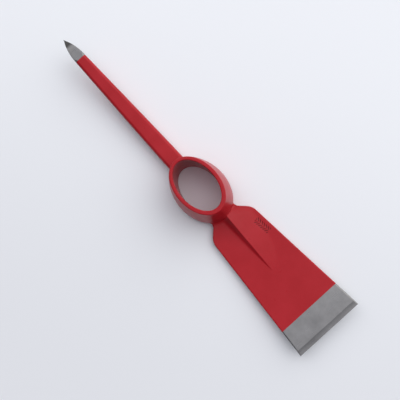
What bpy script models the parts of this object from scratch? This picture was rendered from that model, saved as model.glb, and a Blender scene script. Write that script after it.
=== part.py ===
# Pick mattock head, without its handle: an oval eye, a pick arm with a bare point, and an adze
# blade with a rib and a bare cutting bit. The pieces meet along the lines where such a head is
# forge welded. Metres, +Z up. +X runs from the point to the cutting edge. The head lies on the
# wide base of its eye, and the handle leaves through the narrow rim on the +Z side.

from math import atan, cos, pi, radians, sin, sqrt, tan

import bmesh
import bpy
from mathutils import Vector

# Eye: an oval ring, wide at the base and narrow at the rim that the handle leaves by
eye_height = 0.055
parting_height = 0.0075         # the widest level, where the two forging dies met
rim_hole_length = 0.0716
rim_hole_width = 0.045
base_hole_length = 0.0750
base_hole_width = 0.0482
rim_wall_sides = 0.0047
rim_wall_arm_end = 0.0043
rim_wall_blade_end = 0.0057
base_wall = 0.005
bulge_length = 0.0928
bulge_width = 0.0690
bulge_shift = 0.0002            # from the eye's axis towards the blade
bulge_power = 1.5               # how quickly the wall draws in away from the parting level
rim_edge_radius = 0.0011
rim_edge_angle = radians(45)    # sharper corners than this are rounded

# Pick arm and its bare point
arm_reach = 0.2638              # eye axis to the tip
arm_lift = 0.0025               # its middle lies this far above the parting level at the root
arm_rise = 0.0255               # how far the tip bends up towards the handle
arm_root_width = 0.0238
arm_root_height = 0.0186
arm_end_width = 0.01615
arm_end_height = 0.0120
arm_taper_power = 1.35
arm_draft_angle = radians(6)
arm_edge_radius = 0.0038        # the upper and lower edges are broadly rounded
arm_root_fillet = 0.0045
point_length = 0.0322
point_power = 2.3               # fullness of the point's ogive
tip_flat = 0.0012

# Adze blade and its bare cutting bit
blade_reach = 0.2291            # eye axis to the cutting edge
blade_drop = 0.00325            # how far its middle lies under the parting level at the root
blade_rise = 0.01325
neck_width = 0.0379
neck_end = 0.0434               # eye axis to where the shoulders start
neck_radius = 0.006
neck_thickness = 0.007
shoulder_slope = radians(45)
shoulder_width = 0.0676         # where the slope of the shoulders meets the blade's sides
shoulder_radius = 0.0185
edge_width = 0.0920
bit_thickness = 0.0052
blade_taper_power = 0.75
blade_side_radius = 0.0016
thin_side_share = 0.45          # where the blade is thin, the radius is this share of its thickness
blade_root_fillet = 0.0018
bit_length = 0.0344
bevel_length = 0.0067
bevel_thickness = 0.0030
edge_thickness = 0.0008

# Rib: a tongue on the blade's upper face, steep on its -Y side and shallow on its +Y side
rib_height = 0.0075
rib_end = 0.1342                # eye axis to where the rib runs out
rib_end_cut = 0.0020            # its thin end stops this much short
rib_steep_run = 0.0092
rib_steep_power = 0.75          # how quickly the steep side narrows towards the end
rib_steep_middle = 0.32         # its hollow steep side's share of the height, halfway across
rib_crest_root = 0.0015         # the crest's place across the blade, at the eye and at the end
rib_crest_end = -0.0021
rib_side_inset = 0.0020         # blade's side left free beside the shallow slope
rib_lip = 0.0004                # thickness at the rib's feet

# Clearance left between two pieces that touch
weld_gap = 0.0003

# Facets
eye_segments = 80
wall_levels = 10
rim_edge_steps = 2
corner_steps = 3                # in each rounded corner of a section
side_steps = 2                  # along a side of a section
arm_flat_steps = 6
blade_face_steps = 18
slope_steps = 8                 # down the rib's shallow slope
outline_steps = 5               # in each rounded corner of the blade seen from above
fillet_steps = 4
seat_shares = (0.06, 0.35, 0.6, 0.82)
root_shares = (0.35, 0.7, 1.0)
arm_stations = 14
point_stations = 12
point_crowding = 0.7            # below 1 the point's stations crowd towards its tip
blade_stations = 9
bit_stations = 3
rib_stations = 18
sharp_angle = radians(28)
wall_search_steps = 8           # rounds of finding where a section meets the eye's wall

# Where the roots end, the paint stops and the bevel starts, measured from the eye's axis
root_margin = 0.001
arm_wall = bulge_length / 2 - bulge_shift
blade_wall = bulge_length / 2 + bulge_shift
arm_root_end = arm_wall + arm_root_fillet + root_margin
arm_paint_end = arm_reach - point_length
blade_root_end = blade_wall + blade_root_fillet + root_margin
blade_paint_end = blade_reach - bit_length
bevel_start = blade_reach - bevel_length

# The origin lies under the middle of the whole head
eye_axis_x = (arm_reach - blade_reach) / 2


def lerp(start, end, share):
    return start + (end - start) * share


def make_material(name, color, roughness, metallic):
    material = bpy.data.materials.new(name)
    material.use_nodes = True
    shader = material.node_tree.nodes["Principled BSDF"]
    shader.inputs["Base Color"].default_value = (*color, 1.0)
    shader.inputs["Roughness"].default_value = roughness
    shader.inputs["Metallic"].default_value = metallic
    material.diffuse_color = (*color, 1.0)
    return material


def add_piece(name, bm, material, parent):
    bmesh.ops.recalc_face_normals(bm, faces=bm.faces)
    mesh = bpy.data.meshes.new(name)
    bm.to_mesh(mesh)
    bm.free()
    mesh.materials.append(material)
    mesh.shade_smooth()
    mesh.set_sharp_from_angle(angle=sharp_angle)
    piece = bpy.data.objects.new(name, mesh)
    bpy.context.collection.objects.link(piece)
    piece.parent = parent
    return piece


def bridge(bm, ring, next_ring):
    for i, corner in enumerate(ring):
        j = (i + 1) % len(ring)
        bm.faces.new((corner, ring[j], next_ring[j], next_ring[i]))


def cap_with_face(bm, ring):
    bm.faces.new(ring)


def cap_with_strip(bm, ring):
    """Close a ring whose second half runs back under its first half."""
    for i in range(len(ring) // 2 - 1):
        bm.faces.new((ring[i], ring[i + 1], ring[-2 - i], ring[-1 - i]))


def loft(rings, cap=cap_with_face):
    """Skin a row of closed rings and cap both ends."""
    bm = bmesh.new()
    vert_rings = [[bm.verts.new(point) for point in ring] for ring in rings]
    for ring, next_ring in zip(vert_rings, vert_rings[1:]):
        bridge(bm, ring, next_ring)
    cap(bm, vert_rings[0])
    cap(bm, vert_rings[-1])
    return bm


def round_corner(before, corner, after, radius, steps):
    """Points of an arc that rounds one corner of a flat outline."""
    to_before = (before - corner).normalized()
    to_after = (after - corner).normalized()
    half_angle = to_before.angle(to_after) / 2
    reach = radius / tan(half_angle)
    centre = corner + (to_before + to_after).normalized() * (radius / sin(half_angle))
    start = corner + to_before * reach - centre
    end = corner + to_after * reach - centre
    turn = pi - 2 * half_angle
    points = []
    for i in range(steps + 1):
        share = i / steps
        points.append(centre + (start * sin((1 - share) * turn) + end * sin(share * turn)) / sin(turn))
    return points


def rounded_outline(corners, radius, steps):
    """Closed outline with rounded corners, each side split into its own number of steps."""
    count = len(corners)
    arcs = [round_corner(corners[i - 1], corners[i], corners[(i + 1) % count], radius, corner_steps)
            for i in range(count)]
    points = []
    for i, arc in enumerate(arcs):
        points += arc
        next_start = arcs[(i + 1) % count][0]
        points += [arc[-1].lerp(next_start, step / steps[i]) for step in range(1, steps[i])]
    return points


def with_normals(points):
    """Pair each point of a closed counterclockwise outline with the direction out of it."""
    pairs = []
    for i, point in enumerate(points):
        along = points[(i + 1) % len(points)] - points[i - 1]
        pairs.append((point, Vector((along.y, -along.x)).normalized()))
    return pairs


# Eye

def wall_at(z):
    """Centre, half length and half width of the eye's outer wall at one height."""
    bulge = (bulge_shift, bulge_length / 2, bulge_width / 2)
    if z < parting_height:
        share = (parting_height - z) / parting_height
        end = (0.0, base_hole_length / 2 + base_wall, base_hole_width / 2 + base_wall)
    else:
        share = (z - parting_height) / (eye_height - parting_height)
        length = rim_hole_length + rim_wall_arm_end + rim_wall_blade_end
        end = ((rim_wall_blade_end - rim_wall_arm_end) / 2, length / 2,
               rim_hole_width / 2 + rim_wall_sides)
    share = min(share, 1.0) ** bulge_power
    return [lerp(middle, far, share) for middle, far in zip(bulge, end)]


def hole_at(z):
    share = z / eye_height
    return (lerp(base_hole_length, rim_hole_length, share) / 2,
            lerp(base_hole_width, rim_hole_width, share) / 2)


def wall_run(y, z, side):
    """How far the eye's outer wall reaches from the eye's axis, towards +X or -X (side)."""
    centre, half_length, half_width = wall_at(z)
    return side * centre + half_length * sqrt(max(0.0, 1 - (y / half_width) ** 2))


def make_eye(material, parent):
    """Ring of slices: up the outer wall at each angle, then down the tapered hole."""
    levels = [eye_height * i / wall_levels for i in range(wall_levels + 1)]
    bm = bmesh.new()
    slices = []
    for i in range(eye_segments):
        turn = 2 * pi * i / eye_segments
        loop = []
        for z in levels:
            centre, half_length, half_width = wall_at(z)
            loop.append(bm.verts.new((centre + half_length * cos(turn), half_width * sin(turn), z)))
        for z in reversed(levels):
            half_length, half_width = hole_at(z)
            loop.append(bm.verts.new((half_length * cos(turn), half_width * sin(turn), z)))
        slices.append(loop)
    for loop, next_loop in zip(slices, slices[1:] + slices[:1]):
        bridge(bm, loop, next_loop)
    eye = add_piece("eye_socket", bm, material, parent)
    bevel = eye.modifiers.new("rim_edges", "BEVEL")
    bevel.width = rim_edge_radius
    bevel.segments = rim_edge_steps
    bevel.limit_method = "ANGLE"
    bevel.angle_limit = rim_edge_angle


# Roots: sections that lie on the eye's wall

def off_wall(section, index, side, grow, lift, start):
    """Where one point of a section, grown outwards, stands off the eye's wall by a distance."""
    run = start
    for _ in range(wall_search_steps):
        point, normal = section(run)[index]
        flat = point + normal * grow
        run = wall_run(flat.x, flat.y, side) + lift
    return side * run, flat.x, flat.y


def root_rings(section, side, fillet, root_end):
    """Rings from the middle of the seat on the eye's wall, out over the fillet, to a plane."""
    count = len(section(root_end))
    fillet_rings = []
    for step in range(fillet_steps + 1):
        turn = pi / 2 * (1 - step / fillet_steps)
        grow = fillet * (1 - cos(turn))
        lift = weld_gap + fillet * (1 - sin(turn))
        fillet_rings.append([off_wall(section, i, side, grow, lift, root_end) for i in range(count)])
    seat = [Vector(point) for point in fillet_rings[0]]
    middle = sum(seat, Vector()) / count
    rings = []
    for share in seat_shares:
        flat = [middle.lerp(point, share) for point in seat]
        rings.append([(side * (wall_run(p.y, p.z, side) + weld_gap), p.y, p.z) for p in flat])
    rings += fillet_rings
    for share in root_shares:
        ring = []
        for i in range(count):
            run = lerp(side * fillet_rings[-1][i][0], root_end, share)
            point, _ = section(run)[i]
            ring.append((side * run, point.x, point.y))
        rings.append(ring)
    return rings


# Pick arm

def arm_size(run):
    """Half width and half height of the arm at a distance from the eye's axis."""
    share = max(0.0, run - arm_root_end) / (arm_paint_end - arm_root_end)
    share = min(share, 1.0) ** arm_taper_power
    return (lerp(arm_root_width, arm_end_width, share) / 2,
            lerp(arm_root_height, arm_end_height, share) / 2)


def arm_outline(half_width, half_height, edge_radius):
    """Six-sided section: flat top and bottom, and sides drafted out to the parting line."""
    flat = half_width - half_height * tan(arm_draft_angle)
    corners = [Vector(c) for c in ((half_width, 0.0), (flat, half_height), (-flat, half_height),
                                   (-half_width, 0.0), (-flat, -half_height), (flat, -half_height))]
    return rounded_outline(corners, edge_radius, [side_steps, arm_flat_steps, side_steps] * 2)


def arm_section(run):
    """The root grows a fillet up and to the sides; its underside is close to the table."""
    centre = Vector((0.0, parting_height + arm_lift))
    return [(centre + point, Vector((normal.x, max(normal.y, 0.0))))
            for point, normal in with_normals(arm_outline(*arm_size(run), arm_edge_radius))]


def arm_ring(run, scale=1.0):
    """Section square to the arm's bent centre line."""
    bend = max(0.0, run - arm_root_end)
    bend_length = arm_reach - arm_root_end
    middle_z = parting_height + arm_lift + arm_rise * (bend / bend_length) ** 2
    tilt = atan(2 * arm_rise * bend / bend_length ** 2)
    half_width, half_height = arm_size(run)
    outline = arm_outline(half_width * scale, half_height * scale, arm_edge_radius * scale)
    return [(-run + point.y * sin(tilt), point.x, middle_z + point.y * cos(tilt)) for point in outline]


def make_arm(material, parent):
    rings = root_rings(arm_section, -1, arm_root_fillet, arm_root_end)
    for i in range(1, arm_stations + 1):
        rings.append(arm_ring(lerp(arm_root_end, arm_paint_end, i / arm_stations)))
    add_piece("pick_arm", loft(rings), material, parent)


def make_point(material, parent):
    """Bare point: the arm's section drawn in along an ogive to a small flat tip."""
    start = arm_paint_end + weld_gap
    smallest = tip_flat / 2 / arm_size(arm_reach)[0]
    rings = []
    for i in range(point_stations + 1):
        share = (i / point_stations) ** point_crowding
        rings.append(arm_ring(lerp(start, arm_reach, share), max(1 - share ** point_power, smallest)))
    add_piece("pick_point", loft(rings), material, parent)


# Adze blade

def blade_side():
    """The blade's side seen from above, from the eye's axis to the cutting edge."""
    neck = neck_width / 2
    shoulder = shoulder_width / 2
    shoulder_x = neck_end + (shoulder - neck) / tan(shoulder_slope)
    start, low, high, end = (Vector(c) for c in ((0.0, neck), (neck_end, neck), (shoulder_x, shoulder),
                                                 (blade_reach, edge_width / 2)))
    return [start, *round_corner(start, low, high, neck_radius, outline_steps),
            *round_corner(low, high, end, shoulder_radius, outline_steps), end]


side_line = blade_side()


def blade_half_width(run):
    for start, end in zip(side_line, side_line[1:]):
        if run <= end.x:
            return lerp(start.y, end.y, (run - start.x) / (end.x - start.x))
    return side_line[-1].y


def blade_faces(run):
    """Heights of the blade's lower and upper face; the bevel is ground on the upper one."""
    bend = max(0.0, run - blade_root_end) / (blade_reach - blade_root_end)
    middle = parting_height - blade_drop + blade_rise * bend ** 2
    if run <= blade_paint_end:
        share = max(0.0, run - neck_end) / (blade_paint_end - neck_end)
        thickness = lerp(neck_thickness, bit_thickness, share ** blade_taper_power)
    else:
        share = (run - blade_paint_end) / (bevel_start - blade_paint_end)
        thickness = lerp(bit_thickness, bevel_thickness, share)
    lower = middle - thickness / 2
    if run > bevel_start:
        thickness = lerp(bevel_thickness, edge_thickness, (run - bevel_start) / bevel_length)
    return lower, lower + thickness


def blade_outline(run):
    half_width = blade_half_width(run)
    lower, upper = blade_faces(run)
    radius = min(blade_side_radius, thin_side_share * (upper - lower))
    corners = [Vector(c) for c in ((half_width, lower), (half_width, upper),
                                   (-half_width, upper), (-half_width, lower))]
    return rounded_outline(corners, radius, [side_steps, blade_face_steps] * 2)


def blade_section(run):
    """The root grows a fillet to its sides; the rib stands above it and the table is close below."""
    return [(point, Vector((normal.x, 0.0)))
            for point, normal in with_normals(blade_outline(run))]


def blade_ring(run):
    return [(run, point.x, point.y) for point in blade_outline(run)]


def make_blade(material, parent):
    rings = root_rings(blade_section, 1, blade_root_fillet, blade_root_end)
    runs = [point.x for point in side_line if blade_root_end < point.x < blade_paint_end]
    shoulder_end = runs[-1]
    for i in range(1, blade_stations + 1):
        runs.append(lerp(shoulder_end, blade_paint_end, i / blade_stations))
    rings += [blade_ring(run) for run in runs]
    add_piece("adze_blade", loft(rings), material, parent)


def make_bit(material, parent):
    start = blade_paint_end + weld_gap
    runs = [lerp(start, bevel_start, i / bit_stations) for i in range(bit_stations + 1)]
    rings = [blade_ring(run) for run in runs + [blade_reach]]
    add_piece("cutting_bit", loft(rings), material, parent)


# Rib

def rib_section(run):
    """Across the rib: steep foot, crest, shallow foot, then back along its flat underside."""
    share = min(max(0.0, run - blade_wall) / (rib_end - blade_wall), 1.0)
    crest_y = lerp(rib_crest_root, rib_crest_end, share)
    steep_foot = crest_y - rib_steep_run * (1 - share) ** rib_steep_power
    side_foot = min(blade_half_width(run), shoulder_width / 2) - rib_side_inset
    shallow_foot = lerp(crest_y, side_foot, sqrt(1 - share ** 2))
    floor = blade_faces(run)[1] + weld_gap
    foot = floor + rib_lip
    crest = foot + rib_height * (1 - share)
    steep_middle = Vector(((steep_foot + crest_y) / 2, lerp(foot, crest, rib_steep_middle)))
    upper = [Vector((steep_foot, foot)), steep_middle]
    for i in range(slope_steps + 1):
        across = i / slope_steps
        upper.append(Vector((lerp(crest_y, shallow_foot, across), lerp(crest, foot, across))))
    under = [Vector((point.x, floor)) for point in reversed(upper)]
    return with_normals(upper + under)


def make_rib(material, parent):
    """The rib starts on the eye's wall, so each line along it starts at its own distance."""
    count = len(rib_section(blade_wall))
    rings = [[off_wall(rib_section, i, 1, 0.0, weld_gap, blade_wall) for i in range(count)]]
    for station in range(1, rib_stations + 1):
        ring = []
        for i in range(count):
            run = lerp(rings[0][i][0], rib_end - rib_end_cut, station / rib_stations)
            point, _ = rib_section(run)[i]
            ring.append((run, point.x, point.y))
        rings.append(ring)
    add_piece("blade_rib", loft(rings, cap_with_strip), material, parent)


def main():
    for existing in list(bpy.data.objects):
        bpy.data.objects.remove(existing, do_unlink=True)
    enamel = make_material("red_enamel", (0.39, 0.022, 0.028), 0.38, 0.0)
    steel = make_material("ground_steel", (0.24, 0.24, 0.25), 0.40, 1.0)
    eye_axis = bpy.data.objects.new("eye_axis", None)
    bpy.context.collection.objects.link(eye_axis)
    eye_axis.location.x = eye_axis_x
    make_eye(enamel, eye_axis)
    make_arm(enamel, eye_axis)
    make_point(steel, eye_axis)
    make_blade(enamel, eye_axis)
    make_rib(enamel, eye_axis)
    make_bit(steel, eye_axis)


main()
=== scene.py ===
# Pick mattock head: skin, finish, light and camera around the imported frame.
# Metres, +X to the cutting edge.
from math import cos, pi, radians, sin, tan

import bmesh
import bpy
import numpy as np
from mathutils import Matrix, Vector, noise


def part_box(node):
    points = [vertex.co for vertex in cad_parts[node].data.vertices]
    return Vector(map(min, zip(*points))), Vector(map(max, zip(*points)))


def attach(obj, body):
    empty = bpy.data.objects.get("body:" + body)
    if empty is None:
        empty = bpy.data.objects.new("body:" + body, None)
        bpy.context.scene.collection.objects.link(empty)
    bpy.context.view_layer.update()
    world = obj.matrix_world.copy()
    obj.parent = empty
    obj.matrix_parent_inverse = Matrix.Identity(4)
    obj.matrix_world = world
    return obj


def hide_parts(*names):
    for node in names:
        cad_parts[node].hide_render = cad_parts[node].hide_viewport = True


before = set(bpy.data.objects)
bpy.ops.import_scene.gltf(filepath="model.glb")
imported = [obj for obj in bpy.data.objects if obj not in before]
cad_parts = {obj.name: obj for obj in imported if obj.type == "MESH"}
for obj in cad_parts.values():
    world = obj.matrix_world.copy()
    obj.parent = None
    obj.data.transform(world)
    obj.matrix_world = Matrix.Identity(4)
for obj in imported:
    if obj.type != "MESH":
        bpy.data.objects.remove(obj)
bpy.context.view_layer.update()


def lerp(start, end, share):
    return start + (end - start) * share


def clamp(value, low=0.0, high=1.0):
    return np.clip(value, low, high)


def smooth(share):
    share = clamp(share)
    return share * share * (3 - 2 * share)


def softMin(a, b, reach):  # the smaller one, with the corner between the two rounded
    near = np.maximum(reach - np.abs(a - b), 0.0) / reach
    return np.minimum(a, b) - near * near * reach / 4


def softMax(a, b, reach):
    return -softMin(-a, -b, reach)


# Skin: what the dies, the hammer and the paint leave all over the forging
skin = {
    "wobble": 0.00010,          # the deepest that the forged skin wanders inwards
    "wobbleSize": 0.017,
    "paint": 0.00008,           # thickness of the enamel, seen where it stops
    "overlap": 0.0006,          # how far a piece runs on inside its neighbour
    "sink": 0.00003,            # a feathered edge ends this far under its neighbour's skin
    "sharpAngle": radians(38),
    "flatFoot": 0.003,          # the wobble fades out this close to the table
    "facesUp": 0.5,             # a normal that points up by more than this can take the stamp
}

# A plain herringbone stamp pressed into the blade's shoulder
stamp = {
    "middle": (0.0842, 0.0265),
    "turn": radians(7),
    "halfLength": 0.0112,
    "halfHeight": 0.0044,
    "pitch": 0.0032,             # from one groove to the next
    "slant": 0.8,
    "grooveWidth": 0.0011,
    "depth": 0.00035,
    "blank": 0.0006,             # left free between its two rows
    "softEnd": 0.0006,           # how gently the grooves rise at the block's outer ends
    "softMiddle": 0.0004,        # and beside the blank
}


def stampDepth(along, across):
    x, y = along - stamp["middle"][0], across - stamp["middle"][1]
    turn = stamp["turn"]
    x, y = x * cos(turn) + y * sin(turn), y * cos(turn) - x * sin(turn)
    place = (x + stamp["slant"] * np.abs(y)) / stamp["pitch"]
    off = np.abs(place - np.round(place)) * stamp["pitch"] / np.hypot(1, stamp["slant"])
    groove = smooth(1.5 - off / (stamp["grooveWidth"] / 2))
    ends = smooth((stamp["halfLength"] - np.abs(x)) / stamp["softEnd"])
    ends = ends * smooth((stamp["halfHeight"] - np.abs(y)) / stamp["softEnd"])
    return stamp["depth"] * groove * ends * smooth((np.abs(y) - stamp["blank"] / 2) / stamp["softMiddle"])


def addPiece(name, rings, material, node, joined=False):  # skins closed rings into a body
    count, rows = len(rings[0]), len(rings)
    here, beside = np.arange(count), (np.arange(count) + 1) % count
    faces = []
    for row in range(rows if joined else rows - 1):
        first, second = row * count, (row + 1) % rows * count
        faces += np.stack([first + here, first + beside, second + beside, second + here], 1).tolist()
    if not joined:
        faces += [here.tolist(), (here + (rows - 1) * count).tolist()]
    mesh = bpy.data.meshes.new(name)
    mesh.from_pydata(np.concatenate(rings).tolist(), [], faces)
    bm = bmesh.new()
    bm.from_mesh(mesh)
    bmesh.ops.recalc_face_normals(bm, faces=bm.faces)
    bm.to_mesh(mesh)
    bm.free()

    points = np.empty(len(mesh.vertices) * 3)
    mesh.vertices.foreach_get("co", points)
    points = points.reshape(-1, 3)
    outward = np.array([normal.vector for normal in mesh.vertex_normals])
    swell = np.array([noise.noise(Vector(place)) for place in points / skin["wobbleSize"]])
    depth = skin["wobble"] * (0.5 + 0.5 * swell) * smooth(points[:, 2] / skin["flatFoot"])
    pressed = np.where(outward[:, 2] > skin["facesUp"], stampDepth(points[:, 0], points[:, 1]), 0.0)
    points -= outward * depth[:, None]
    points[:, 2] -= pressed
    mesh.vertices.foreach_set("co", points.ravel())
    if pressed.any():  # the enamel darkens the grooves by this: painted shade, with dirt in them
        mark = mesh.attributes.new("pressed", "FLOAT", "POINT")
        mark.data.foreach_set("value", pressed / stamp["depth"])

    mesh.materials.append(material)
    mesh.shade_smooth()
    mesh.set_sharp_from_angle(angle=skin["sharpAngle"])
    piece = bpy.data.objects.new(name, mesh)
    bpy.context.collection.objects.link(piece)
    piece.location.x = eyeAxis
    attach(piece, "root")
    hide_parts(node)
    print("made", name, "with", len(mesh.polygons), "faces")


# Eye: oval ring, wide at the base, rounded along both rims
eyeLow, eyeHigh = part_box("eye_socket")
eye = {
    "height": eyeHigh.z,
    "parting": 0.0075,
    "rimHole": (0.0716, 0.045),
    "baseHole": (0.0750, 0.0482),
    "rimWallSides": 0.0047,
    "rimWallArmEnd": 0.0043,
    "rimWallBladeEnd": 0.0057,
    "baseWall": 0.005,
    "bulge": (0.0928, 0.0690),
    "bulgeShift": 0.0002,        # from the eye's axis towards the blade
    "bulgePower": 1.5,
    "edgeRadius": 0.0012,
    "around": 320,
    "levels": 36,
    "edgeSteps": 5,
    "rimSteps": 4,
}
armWall = eye["bulge"][0] / 2 - eye["bulgeShift"]
bladeWall = eye["bulge"][0] / 2 + eye["bulgeShift"]
eyeAxis = eyeLow.x + armWall  # every length along the head is measured from here


def wallAt(z):  # centre, half length and half width of the outer wall
    below = clamp((eye["parting"] - z) / eye["parting"]) ** eye["bulgePower"]
    above = clamp((z - eye["parting"]) / (eye["height"] - eye["parting"])) ** eye["bulgePower"]
    (bulgeLength, bulgeWidth), (rimLength, rimWidth), (baseLength, baseWidth) = (
        eye["bulge"], eye["rimHole"], eye["baseHole"])
    rimLength = rimLength + eye["rimWallArmEnd"] + eye["rimWallBladeEnd"]
    rimWidth = rimWidth + 2 * eye["rimWallSides"]
    baseLength, baseWidth = baseLength + 2 * eye["baseWall"], baseWidth + 2 * eye["baseWall"]
    rimCentre, bulgeCentre = (eye["rimWallBladeEnd"] - eye["rimWallArmEnd"]) / 2, eye["bulgeShift"]
    centre = bulgeCentre + (rimCentre - bulgeCentre) * above - bulgeCentre * below
    length = bulgeLength + (rimLength - bulgeLength) * above + (baseLength - bulgeLength) * below
    width = bulgeWidth + (rimWidth - bulgeWidth) * above + (baseWidth - bulgeWidth) * below
    return centre, length / 2, width / 2


def wallRun(y, z, side):  # how far the outer wall reaches along the head, towards the arm or the blade
    centre, halfLength, halfWidth = wallAt(z)
    return side * centre + halfLength * np.sqrt(np.maximum(0.0, 1 - (y / halfWidth) ** 2))


def eyeSlice(turn):
    def wall(z):
        centre, halfLength, halfWidth = wallAt(z)
        return np.array((centre + halfLength * cos(turn), halfWidth * sin(turn), z))

    def hole(z):
        share = z / eye["height"]
        return np.array((lerp(eye["baseHole"][0], eye["rimHole"][0], share) / 2 * cos(turn),
                         lerp(eye["baseHole"][1], eye["rimHole"][1], share) / 2 * sin(turn), z))

    def rounded(start, corner, end):
        shares = np.linspace(0, 1, eye["edgeSteps"] + 1)
        return [start * (1 - t) ** 2 + corner * 2 * t * (1 - t) + end * t ** 2 for t in shares]

    radius, top = eye["edgeRadius"], eye["height"]
    climb = np.linspace(radius, top - radius, eye["levels"])[1:-1]
    overRim, overBase = wall(top) - hole(top), wall(0) - hole(0)
    overRim, overBase = overRim / np.linalg.norm(overRim), overBase / np.linalg.norm(overBase)
    rimOut, rimIn = wall(top) - overRim * radius, hole(top) + overRim * radius
    points = rounded(wall(0) - overBase * radius, wall(0), wall(radius))
    points += [wall(z) for z in climb]
    points += rounded(wall(top - radius), wall(top), rimOut)
    points += [lerp(rimOut, rimIn, share) for share in np.linspace(0, 1, eye["rimSteps"] + 1)[1:-1]]
    points += rounded(rimIn, hole(top), hole(top - radius))
    points += [hole(z) for z in climb[::-1]]
    points += rounded(hole(radius), hole(0), hole(0) + overBase * radius)
    return np.array(points)


def makeEye(material):
    slices = [eyeSlice(turn) for turn in np.linspace(0, 2 * pi, eye["around"], endpoint=False)]
    addPiece("eyeRing", slices, material, "eye_socket", joined=True)


# Sections: an outline is a pattern that any half width, half height and edge radius can fill.
# Each corner is given by its shares of the half width, of the half height sideways and upwards.
def outlinePattern(corners, cornerSteps, sideSteps):
    corners = np.array(corners, float)
    spots = np.stack([corners[:, 0] + corners[:, 1], corners[:, 2]], 1)
    sides = np.roll(spots, -1, 0) - spots
    outs = np.stack([sides[:, 1], -sides[:, 0]], 1) / np.hypot(*sides.T)[:, None]
    rows = []
    for i, corner in enumerate(corners):
        before, after, j = outs[i - 1], outs[i], (i + 1) % len(corners)
        pull = (before + after) / (1 + before @ after)
        nextPull = (after + outs[j]) / (1 + after @ outs[j])
        for share in np.linspace(0, 1, cornerSteps + 1):
            out = Vector(before).slerp(Vector(after), share)
            rows.append([*corner, *pull, *out])
        for share in np.linspace(0, 1, sideSteps[i] + 1)[1:-1]:
            rows.append([*lerp(corner, corners[j], share), *lerp(pull, nextPull, share), *after])
    return np.array(rows).T


def fillPattern(pattern, halfWidth, halfHeight, radius):
    wide, lean, high, pullY, pullZ, outY, outZ = pattern
    y = wide * halfWidth + lean * halfHeight + (outY - pullY) * radius
    return y, high * halfHeight + (outZ - pullZ) * radius


# Roots: the arm, the blade and the rib grow out of the eye's wall over a fillet
root = {"filletSteps": 10, "searchSteps": 9, "margin": 0.001, "blend": (0.35, 0.7, 1.0)}


def offWall(section, side, grow, lift, run):
    for _ in range(root["searchSteps"]):
        y, z, outY, outZ = section(run)
        y, z = y + outY * grow, z + outZ * grow
        run = wallRun(y, z, side) + lift
    return np.stack([side * run, y, z], 1)


def filletRings(section, side, fillet, start):
    rings = [offWall(section, side, fillet, -skin["overlap"], start)]
    for turn in np.linspace(pi / 2, 0, root["filletSteps"] + 1):
        lift = fillet * (1 - sin(turn)) - skin["sink"]
        rings.append(offWall(section, side, fillet * (1 - cos(turn)), lift, start))
    return rings


def ringsAlong(section, side, startRing, end, shares):  # each line runs on from its own start
    rings = []
    for share in shares:
        run = lerp(side * startRing[:, 0], end, share)
        y, z, _, _ = section(run)
        rings.append(np.stack([side * run, y, z], 1))
    return rings


# Pick arm: drafted, bent up towards the tip, red as far as its bare point
arm = {
    "reach": 0.2638,             # eye's axis to the tip
    "lift": 0.0025,              # its middle lies this far above the parting level at the root
    "rise": 0.0255,
    "rootWidth": 0.0238,
    "rootHeight": 0.0186,
    "endWidth": 0.01615,
    "endHeight": 0.0120,
    "taperPower": 1.35,
    "draft": radians(6),
    "edgeRadius": 0.0038,
    "fillet": 0.0045,
    "stations": 120,
    "cornerSteps": 10,
    "flatSteps": 16,
    "sideSteps": 8,
}
point = {
    "length": 0.0322,
    "power": 2.3,
    "tipFlat": 0.0012,
    "edgeRadius": 0.0005,        # ground edges are crisper than forged ones
    "crispRun": 0.004,
    "stations": 60,
    "crowding": 0.7,
}
armRootEnd = armWall + arm["fillet"] + root["margin"]
armPaintEnd = arm["reach"] - point["length"]
lean = tan(arm["draft"])
armPattern = outlinePattern(
    [(1, 0, 0), (1, -lean, 1), (-1, lean, 1), (-1, 0, 0), (-1, lean, -1), (1, -lean, -1)],
    arm["cornerSteps"], [arm["sideSteps"], arm["flatSteps"], arm["sideSteps"]] * 2)


def armSize(run):
    share = clamp((run - armRootEnd) / (armPaintEnd - armRootEnd)) ** arm["taperPower"]
    return (lerp(arm["rootWidth"], arm["endWidth"], share) / 2,
            lerp(arm["rootHeight"], arm["endHeight"], share) / 2)


def armSection(run):
    y, z = fillPattern(armPattern, *armSize(run), arm["edgeRadius"])
    return y, eye["parting"] + arm["lift"] + z, armPattern[5], np.maximum(armPattern[6], 0.0)


def armRing(run, scale=1.0, inset=0.0, radius=arm["edgeRadius"]):  # square to the bent centre line
    bent, bentLength = run - armRootEnd, arm["reach"] - armRootEnd
    slope = 2 * arm["rise"] * bent / bentLength ** 2
    middleZ = eye["parting"] + arm["lift"] + arm["rise"] * (bent / bentLength) ** 2
    halfWidth, halfHeight = armSize(run)
    y, up = fillPattern(armPattern, halfWidth * scale - inset, halfHeight * scale - inset, radius * scale)
    up = up / np.hypot(1, slope)
    return np.stack([-run + up * slope, y, middleZ + up], 1)


def makeArm(material):
    rings = filletRings(armSection, -1, arm["fillet"], armRootEnd)
    rings += ringsAlong(armSection, -1, rings[-1], armRootEnd, root["blend"])
    lip = armPaintEnd - skin["paint"]
    rings += [armRing(run) for run in np.linspace(armRootEnd, lip, arm["stations"] + 1)[1:]]
    rings.append(armRing(armPaintEnd, inset=skin["paint"]))
    addPiece("pickArm", rings, material, "pick_arm")


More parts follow.
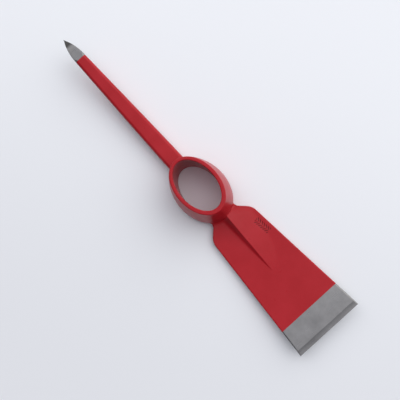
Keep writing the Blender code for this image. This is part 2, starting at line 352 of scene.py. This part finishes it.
def makePoint(material):
    smallest = point["tipFlat"] / 2 / armSize(arm["reach"])[0]
    rings = [armRing(armPaintEnd - skin["overlap"], inset=skin["paint"])]
    for share in np.linspace(0, 1, point["stations"] + 1) ** point["crowding"]:
        run = lerp(armPaintEnd, arm["reach"], share)
        scale = max(1 - share ** point["power"], smallest)
        crispness = smooth((run - armPaintEnd) / point["crispRun"])
        radius = lerp(arm["edgeRadius"], point["edgeRadius"], crispness)
        rings.append(armRing(run, scale, skin["paint"] * (1 - share), radius))
    addPiece("pickPoint", rings, material, "pick_point")


# Adze blade: narrow neck, sloped shoulders, straight flaring sides, red as far as its bare bit
blade = {
    "drop": 0.00325,             # its middle lies this far under the parting level at the root
    "rise": 0.01325,
    "neckWidth": 0.0379,
    "neckEnd": 0.0434,
    "neckRadius": 0.006,
    "neckThickness": 0.007,
    "shoulderSlope": radians(45),
    "shoulderWidth": 0.0676,
    "shoulderRadius": 0.0185,
    "edgeWidth": 0.0920,
    "bitThickness": 0.0052,
    "taperPower": 0.75,
    "sideRadius": 0.0016,
    "thinSide": 0.45,            # where the blade is thin, its radius is this share of the thickness
    "fillet": 0.0018,
    "softFillet": 0.0045,        # on top of the blade, on the side that has no rib
    "softStart": 0.004,
    "outlineSteps": 16,
    "cornerSteps": 5,
    "sideSteps": 4,
    "topSteps": 180,
    "underSteps": 36,
    "coarse": 0.0025,            # spacing of the rings
    "fine": 0.0004,              # and where the stamp is
}
bit = {
    "length": 0.0344,
    "bevelLength": 0.0067,
    "bevelThickness": 0.0030,
    "edgeThickness": 0.0006,
    "bevelWander": 0.0004,       # the bevel is ground by hand, so its line wanders
    "wanderSize": 0.009,
    "wanderSeed": 7.3,
    "stations": 16,
    "bevelStations": 32,
}
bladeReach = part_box("cutting_bit")[1].x - eyeAxis
bladeRootEnd = bladeWall + blade["fillet"] + root["margin"]
bladeBlendEnd = bladeWall + blade["softFillet"] + root["margin"]
bladePaintEnd = bladeReach - bit["length"]
bevelStart = bladeReach - bit["bevelLength"]
bladePattern = outlinePattern(
    [(1, 0, -1), (1, 0, 1), (-1, 0, 1), (-1, 0, -1)], blade["cornerSteps"],
    [blade["sideSteps"], blade["topSteps"], blade["sideSteps"], blade["underSteps"]])


def roundCorner(before, corner, after, radius, steps):
    toBefore, toAfter = (before - corner).normalized(), (after - corner).normalized()
    halfAngle = toBefore.angle(toAfter) / 2
    reach = radius / tan(halfAngle)
    centre = corner + (toBefore + toAfter).normalized() * (radius / sin(halfAngle))
    start, end = ((corner + way * reach - centre).normalized() for way in (toBefore, toAfter))
    return [centre + start.slerp(end, i / steps) * radius for i in range(steps + 1)]


def bladeSide():  # seen from above, from the eye's axis to the cutting edge
    neck, shoulder = blade["neckWidth"] / 2, blade["shoulderWidth"] / 2
    shoulderX = blade["neckEnd"] + (shoulder - neck) / tan(blade["shoulderSlope"])
    corners = ((0.0, neck), (blade["neckEnd"], neck), (shoulderX, shoulder),
               (bladeReach, blade["edgeWidth"] / 2))
    start, low, high, end = (Vector(corner) for corner in corners)
    line = [start, *roundCorner(start, low, high, blade["neckRadius"], blade["outlineSteps"]),
            *roundCorner(low, high, end, blade["shoulderRadius"], blade["outlineSteps"]), end]
    return np.array(line).T


sideLine = bladeSide()


def bladeHalfWidth(run):
    return np.interp(run, *sideLine)


def bladeFaces(run):  # heights of the lower and the upper face, without the bevel
    bent = np.maximum(0.0, run - bladeRootEnd) / (bladeReach - bladeRootEnd)
    middle = eye["parting"] - blade["drop"] + blade["rise"] * bent ** 2
    share = clamp((run - blade["neckEnd"]) / (bladePaintEnd - blade["neckEnd"])) ** blade["taperPower"]
    pastPaint = clamp((run - bladePaintEnd) / (bevelStart - bladePaintEnd), 0.0, 2.0)
    thickness = lerp(blade["neckThickness"], blade["bitThickness"], share)
    thickness = thickness + (bit["bevelThickness"] - blade["bitThickness"]) * pastPaint
    return middle - thickness / 2, middle + thickness / 2


def bladeSection(run, inset=0.0):
    lower, upper = bladeFaces(run)
    halfHeight = (upper - lower) / 2 - inset
    radius = np.minimum(blade["sideRadius"], blade["thinSide"] * 2 * halfHeight)
    y, z = fillPattern(bladePattern, bladeHalfWidth(run) - inset, halfHeight, radius)
    return y, (lower + upper) / 2 + z, bladePattern[5], np.maximum(bladePattern[6], 0.0)


def bladeRing(run, inset=0.0):
    y, z, _, _ = bladeSection(run, inset)
    return np.stack([np.full(len(y), run), y, z], 1)


def bladeFillet():
    y, _, _, outZ = bladeSection(bladeRootEnd)
    return lerp(blade["fillet"], blade["softFillet"], smooth(outZ) * smooth(-y / blade["softStart"]))


def makeBlade(material):
    rings = filletRings(bladeSection, 1, bladeFillet(), bladeRootEnd)
    rings += ringsAlong(bladeSection, 1, rings[-1], bladeBlendEnd, root["blend"])
    lip = bladePaintEnd - skin["paint"]
    reach = stamp["halfLength"] + stamp["grooveWidth"]
    stampStart, stampEnd = stamp["middle"][0] - reach, stamp["middle"][0] + reach
    runs = [*np.arange(bladeBlendEnd + blade["coarse"], lip - blade["coarse"] / 2, blade["coarse"]),
            *np.arange(stampStart, stampEnd, blade["fine"]), *sideLine[0]]
    rings += [bladeRing(run) for run in sorted(runs) if bladeBlendEnd < run < lip - blade["fine"]]
    rings += [bladeRing(lip), bladeRing(bladePaintEnd, skin["paint"])]
    addPiece("adzeBlade", rings, material, "adze_blade")


def bitRing(run):  # past its wandering line the bevel takes the upper face down to the edge
    ring = bladeRing(run, skin["paint"])
    lower, upper = bladeFaces(run)
    spots = [Vector((y / bit["wanderSize"], bit["wanderSeed"], 0.0)) for y in ring[:, 1]]
    wander = np.array([noise.noise(spot) for spot in spots])
    line = bevelStart + bit["bevelWander"] * wander
    share = clamp((run - line) / (bladeReach - line))
    fullness = clamp((ring[:, 2] - lower) / (upper - lower))
    ring[:, 2] -= (upper - lower - bit["edgeThickness"]) * share * fullness
    return ring


def makeBit(material):
    flatEnd = bevelStart - bit["bevelWander"]
    runs = [bladePaintEnd - skin["overlap"], *np.linspace(bladePaintEnd, flatEnd, bit["stations"] + 1),
            *np.linspace(flatEnd, bladeReach, bit["bevelStations"] + 1)[1:]]
    addPiece("cuttingBit", [bitRing(run) for run in runs], material, "cutting_bit")


# Rib: steep towards -Y with a soft foot, shallow towards +Y until it fades at the blade's side
rib = {
    "height": 0.0075,
    "end": 0.1342,
    "steepRun": 0.0092,
    "steepPower": 0.75,          # how quickly the steep side narrows towards the end
    "hollow": 1.65,              # how quickly the steep side falls away from the crest
    "crestRoot": 0.0015,
    "crestEnd": -0.0021,
    "sideInset": 0.0018,
    "crestRound": 0.0008,
    "footRound": 0.0012,
    "slopePower": 1.0,
    "thickness": 0.0007,
    "fillet": 0.0008,            # along the wall, beside the crest
    "lastShare": 0.995,
    "across": 110,
    "along": 190,
}
ribAcross = np.concatenate([np.linspace(1, 0, rib["across"] + 1), np.linspace(0, 1, rib["across"] + 1)])
ribIsTop = np.arange(len(ribAcross)) <= rib["across"]


def ribSection(run):
    share = clamp((run - bladeWall) / (rib["end"] - bladeWall), 0.0, rib["lastShare"])
    fade = 1 - share
    top = rib["height"] * fade
    crestY = lerp(rib["crestRoot"], rib["crestEnd"], share)
    steepFoot = crestY - rib["steepRun"] * fade ** rib["steepPower"]
    sideFoot = np.minimum(bladeHalfWidth(run), blade["shoulderWidth"] / 2) - rib["sideInset"]
    shallowFoot = lerp(crestY, sideFoot, np.sqrt(1 - share ** 2))
    margin = rib["footRound"] / rib["height"] * (crestY - steepFoot)
    y = lerp(steepFoot - margin, shallowFoot, ribAcross)
    steep = top * clamp((y - steepFoot) / (crestY - steepFoot), 0.0, 2.0) ** rib["hollow"]
    shallow = top * clamp(1 - (y - crestY) / (shallowFoot - crestY), 0.0, 2.0) ** rib["slopePower"]
    height = softMax(softMin(steep, shallow, rib["crestRound"] * fade), 0.0, rib["footRound"] * fade)
    _, floor = bladeFaces(run)
    z = floor + np.where(ribIsTop, height - skin["sink"], -rib["thickness"])
    return y, z, np.zeros(len(y)), np.ones(len(y))


def ribFillet():
    y, _, _, _ = ribSection(bladeWall)
    return lerp(rib["fillet"], blade["softFillet"], smooth((rib["crestRoot"] - y) / blade["softStart"]))


def makeRib(material):
    rings = filletRings(ribSection, 1, ribFillet(), bladeWall)
    rings += ringsAlong(ribSection, 1, rings[-1], rib["end"], np.linspace(0, 1, rib["along"] + 1)[1:])
    addPiece("bladeRib", rings, material, "blade_rib")


# Materials
class Wiring:  # a short hand for shader nodes
    def __init__(self, owner, shaderName="Principled BSDF"):
        owner.use_nodes = True
        self.tree = owner.node_tree
        self.shader = self.tree.nodes[shaderName]

    def add(self, kind, sockets, **settings):
        node = self.tree.nodes.new("ShaderNode" + kind)
        for name, value in settings.items():
            setattr(node, name, value)
        for name, value in sockets.items():
            if isinstance(value, bpy.types.NodeSocket):
                self.tree.links.new(value, node.inputs[name])
            else:
                node.inputs[name].default_value = value
        return node.outputs[0]

    def place(self):
        return self.tree.nodes.new("ShaderNodeTexCoord").outputs["Object"]

    def along(self, direction, low, high, place=None):  # 0 to 1 between two distances along a direction
        sockets = {0: place or self.place(), 1: direction}
        run = self.add("VectorMath", sockets, operation="DOT_PRODUCT").node.outputs["Value"]
        return self.add("MapRange", {"Value": run, "From Min": low, "From Max": high},
                        interpolation_type="SMOOTHSTEP")

    def scaled(self, color, share):
        return self.add("VectorMath", {0: color, "Scale": share}, operation="SCALE")

    def sum(self, source, factor, start):
        return self.add("Math", {0: source, 1: factor, 2: start}, operation="MULTIPLY_ADD")

    def grain(self, scale, detail=2.0, roughness=0.5, stretch=(1, 1, 1)):
        place = self.add("Mapping", {"Vector": self.place(), "Scale": stretch})
        return self.add("TexNoise", {"Vector": place, "Scale": scale, "Detail": detail,
                                     "Roughness": roughness})

    def ramp(self, source, spread, lowColor, highColor):  # from one colour to the other over a spread
        color = self.add("ValToRGB", {0: source})
        elements = color.node.color_ramp.elements
        elements[0].position, elements[0].color = spread[0], (*lowColor, 1.0)
        elements[1].position, elements[1].color = spread[1], (*highColor, 1.0)
        return color

    def finish(self, color, roughness, bump, bumpHeight):
        normal = self.add("Bump", {"Height": bump, "Distance": bumpHeight, "Strength": 1.0})
        for name, source in (("Base Color", color), ("Roughness", roughness), ("Normal", normal)):
            self.tree.links.new(source, self.shader.inputs[name])


def grey(value):
    return (value, value, value)


def makeEnamel():
    look = {
        "deep": (0.365, 0.0090, 0.0145),
        "bright": (0.405, 0.0130, 0.0200),
        "patches": (38.0, 3.0, 0.55),    # scale, detail and roughness of the noise
        "patchSpread": (0.32, 0.70),
        "roughness": (0.27, 0.37),
        "sheen": (90.0, 4.0, 0.6),
        "sheenSpread": (0.3, 0.75),
        "gloss": 0.18,
        "grooveShadeAndDirt": 0.65,              # how much of the colour the painted shade and dirt in the stamp's grooves take away
        "peel": 520.0,
        "peelHeight": 0.000010,
    }
    material = bpy.data.materials.new("redEnamel")
    wiring = Wiring(material)
    color = wiring.ramp(wiring.grain(*look["patches"]), look["patchSpread"], look["deep"], look["bright"])
    # painted shade in the stamp's grooves, with dirt in them: the colour is darkened by the groove depth
    pressed = wiring.add("Attribute", {}, attribute_name="pressed").node.outputs["Fac"]
    color = wiring.scaled(color, wiring.sum(pressed, -look["grooveShadeAndDirt"], 1.0))
    low, high = look["roughness"]
    roughness = wiring.ramp(wiring.grain(*look["sheen"]), look["sheenSpread"], grey(low), grey(high))
    wiring.finish(color, roughness, wiring.grain(look["peel"]), look["peelHeight"])
    wiring.shader.inputs["Specular IOR Level"].default_value = look["gloss"]
    return material


def makeSteel():
    look = {
        "dark": (0.187, 0.182, 0.178),
        "light": (0.260, 0.252, 0.246),
        "roughness": (0.26, 0.42),
        "patches": (45.0, 4.0, 0.6),
        "patchSpread": (0.3, 0.72),
        "scratches": (900.0, 3.0, 0.6, (1.0, 0.04, 1.0)),    # the last stretches them along the head
        "scratchSpread": (0.3, 0.7),
        "scratchHeight": 0.000012,
        "tipShadeSpan": (0.2490, 0.2545),   # painted shade: the tip is darkened for the dark surroundings that its steep end reflects, from and to these lengths
        "tipShade": 0.76,
    }
    material = bpy.data.materials.new("groundSteel")
    wiring = Wiring(material)
    color = wiring.ramp(wiring.grain(*look["patches"]), look["patchSpread"], look["dark"], look["light"])
    # painted shade: the steel's colour darkens towards the tip
    tipShaded = wiring.along((-1.0, 0.0, 0.0), *look["tipShadeSpan"])
    color = wiring.scaled(color, wiring.sum(tipShaded, -look["tipShade"], 1.0))
    scratches = wiring.grain(*look["scratches"])
    low, high = look["roughness"]
    roughness = wiring.ramp(scratches, look["scratchSpread"], grey(low), grey(high))
    wiring.finish(color, roughness, scratches, look["scratchHeight"])
    wiring.shader.inputs["Metallic"].default_value = 1.0
    return material


# Table: a pale board with painted light, its colour a little brighter towards the window
table = {
    "halfSize": 3.0,
    "dim": (0.73, 0.735, 0.755),
    "bright": (0.855, 0.865, 0.885),
    "towards": (-0.46, 0.89, 0.0),
    "reach": 0.35,
    "mottle": 0.04,
    "mottleScale": 3.0,
    "roughness": 0.6,
}


def makeTable():
    material = bpy.data.materials.new("paleTable")
    wiring = Wiring(material)
    # painted light: the board's colour runs from dim to bright towards the window over this reach
    paintedLight = wiring.along(table["towards"], -table["reach"], table["reach"])
    paintedLight = wiring.sum(wiring.grain(table["mottleScale"]), table["mottle"], paintedLight)
    spread = (table["mottle"] / 2, 1 + table["mottle"] / 2)
    color = wiring.ramp(paintedLight, spread, table["dim"], table["bright"])
    wiring.tree.links.new(color, wiring.shader.inputs["Base Color"])
    wiring.shader.inputs["Roughness"].default_value = table["roughness"]
    bm = bmesh.new()
    bmesh.ops.create_grid(bm, x_segments=4, y_segments=4, size=table["halfSize"])
    mesh = bpy.data.meshes.new("table")
    bm.to_mesh(mesh)
    bm.free()
    mesh.materials.append(material)
    top = bpy.data.objects.new("table", mesh)
    bpy.context.collection.objects.link(top)


# Light: a dim dome, a soft light overhead, a broad window towards +Y and a small one past the point.
# Each is a soft round patch of the dome, given by its angle off the vertical and its turn from +X to +Y.
light = {
    "dome": (0.115, 0.12, 0.145),
    "windows": {
        "overhead": {"offVertical": radians(20), "turn": radians(100), "reach": radians(60),
                     "color": (0.98, 1.00, 1.08)},
        "broad": {"offVertical": radians(60), "turn": radians(82), "reach": radians(58),
                  "color": (1.68, 1.68, 1.63)},
        "small": {"offVertical": radians(50), "turn": radians(180), "reach": radians(30),
                  "color": (1.60, 1.60, 1.57)},
    },
}


def makeLight():
    world = bpy.data.worlds.new("softDome")
    bpy.context.scene.world = world
    wiring = Wiring(world, "Background")
    direction = wiring.tree.nodes.new("ShaderNodeTexCoord").outputs["Generated"]
    dome = light["dome"]
    for window in light["windows"].values():
        offVertical, turn = window["offVertical"], window["turn"]
        towards = (sin(offVertical) * cos(turn), sin(offVertical) * sin(turn), cos(offVertical))
        glow = wiring.scaled(window["color"], wiring.along(towards, cos(window["reach"]), 1.0, direction))
        dome = wiring.add("VectorMath", {0: dome, 1: glow}, operation="ADD")
    wiring.tree.links.new(dome, wiring.shader.inputs["Color"])


# Camera: almost straight down, with the head lying from the upper left to the lower right
shot = {
    "distance": 0.700,               # to the spot on the table in the middle of the picture
    "leanAlong": radians(9.72),
    "leanAcross": radians(0.49),
    "middle": (0.00651, -0.00946),   # that spot, from the eye's axis
    "focalPixels": 547.2,
    "pictureWidth": 400,
    "headTurn": radians(47.61),      # how far the head's length is turned clockwise in the picture
    "sensorWidth": 36.0,
}


def makeCamera():
    back = Vector((tan(shot["leanAlong"]), tan(shot["leanAcross"]), 1.0)).normalized()
    middle = Vector((eyeAxis + shot["middle"][0], shot["middle"][1], 0.0))
    along = (Vector((1, 0, 0)) - back * back.x).normalized()
    across = back.cross(along)
    right = along * cos(shot["headTurn"]) + across * sin(shot["headTurn"])
    up = across * cos(shot["headTurn"]) - along * sin(shot["headTurn"])
    data = bpy.data.cameras.new("camera")
    data.sensor_width = shot["sensorWidth"]
    data.lens = shot["sensorWidth"] * shot["focalPixels"] / shot["pictureWidth"]
    camera = bpy.data.objects.new("camera", data)
    bpy.context.collection.objects.link(camera)
    turn = Matrix((right, up, back)).transposed()
    camera.matrix_world = Matrix.Translation(middle + back * shot["distance"]) @ turn.to_4x4()
    bpy.context.scene.camera = camera


enamel, steel = makeEnamel(), makeSteel()
makeEye(enamel)
makeArm(enamel)
makePoint(steel)
makeBlade(enamel)
makeBit(steel)
makeRib(enamel)
print("pieces done")
makeTable()
makeLight()
makeCamera()
bpy.context.scene.view_settings.view_transform = "Standard"
print("stage, light and camera done")
